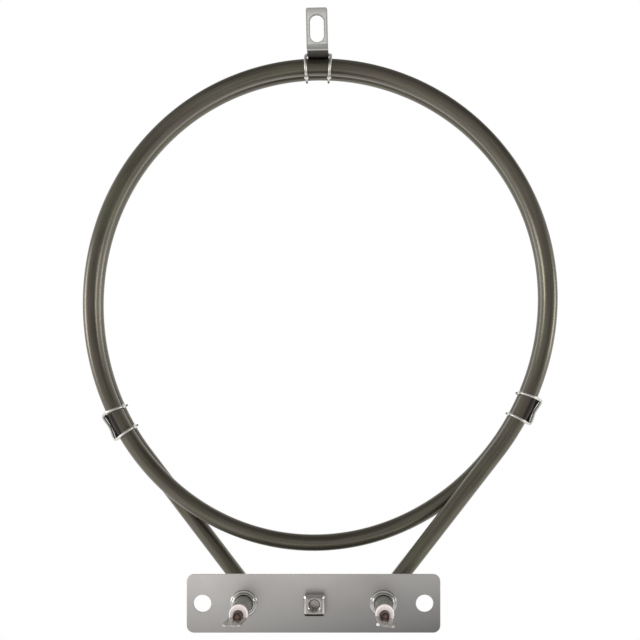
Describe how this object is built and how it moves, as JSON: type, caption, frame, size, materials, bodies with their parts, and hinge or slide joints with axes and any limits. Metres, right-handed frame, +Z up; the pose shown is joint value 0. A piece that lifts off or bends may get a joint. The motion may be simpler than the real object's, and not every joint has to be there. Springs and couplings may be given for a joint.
{
  "type": "oven heating element",
  "caption": "Round fan-oven heating element: a metal tube coiled to a double ring on a mounting plate, with terminals, earth nut, slotted top tab and wire clips.",
  "frame": {"origin": "centre of the mounting plate's wall-side face, midway between its two screw holes", "axes": "+Z up from the plate to the slotted tab, +X to the right seen from the terminals, +Y away from the terminals into the oven"},
  "size_m": [0.1832, 0.0593, 0.2341],
  "materials": {
    "sheath": "dark oxidised satin",
    "plate": "cold-rolled satin",
    "ferrule": "bright turned",
    "nut": "zinc plated",
    "pin": "dull, heat-tinted",
    "magnesia": "pressed powder",
    "seal": "matt silicone",
    "bead": "smooth matt",
    "blade": "nickel-plated",
    "bracket": "stainless satin",
    "wire": "bright drawn wire",
    "strip": "dark heat-tinted"
  },
  "bodies": {
    "root": {"sheath_tube": "sheath", "mounting_plate": "plate", "left_ferrule": "ferrule", "right_ferrule": "ferrule", "earth_nut": "nut", "left_cold_pin": "pin", "right_cold_pin": "pin", "left_magnesia_filling": "magnesia", "right_magnesia_filling": "magnesia", "left_end_seal": "seal", "right_end_seal": "seal", "left_ceramic_bead": "bead", "right_ceramic_bead": "bead", "left_terminal_blade": "blade", "right_terminal_blade": "blade", "top_bracket": "bracket", "top_wire_clip": "wire", "left_wire_clip": "wire", "right_wire_clip": "wire", "left_clip_strip": "strip", "right_clip_strip": "strip"}
  },
  "joints": []
}
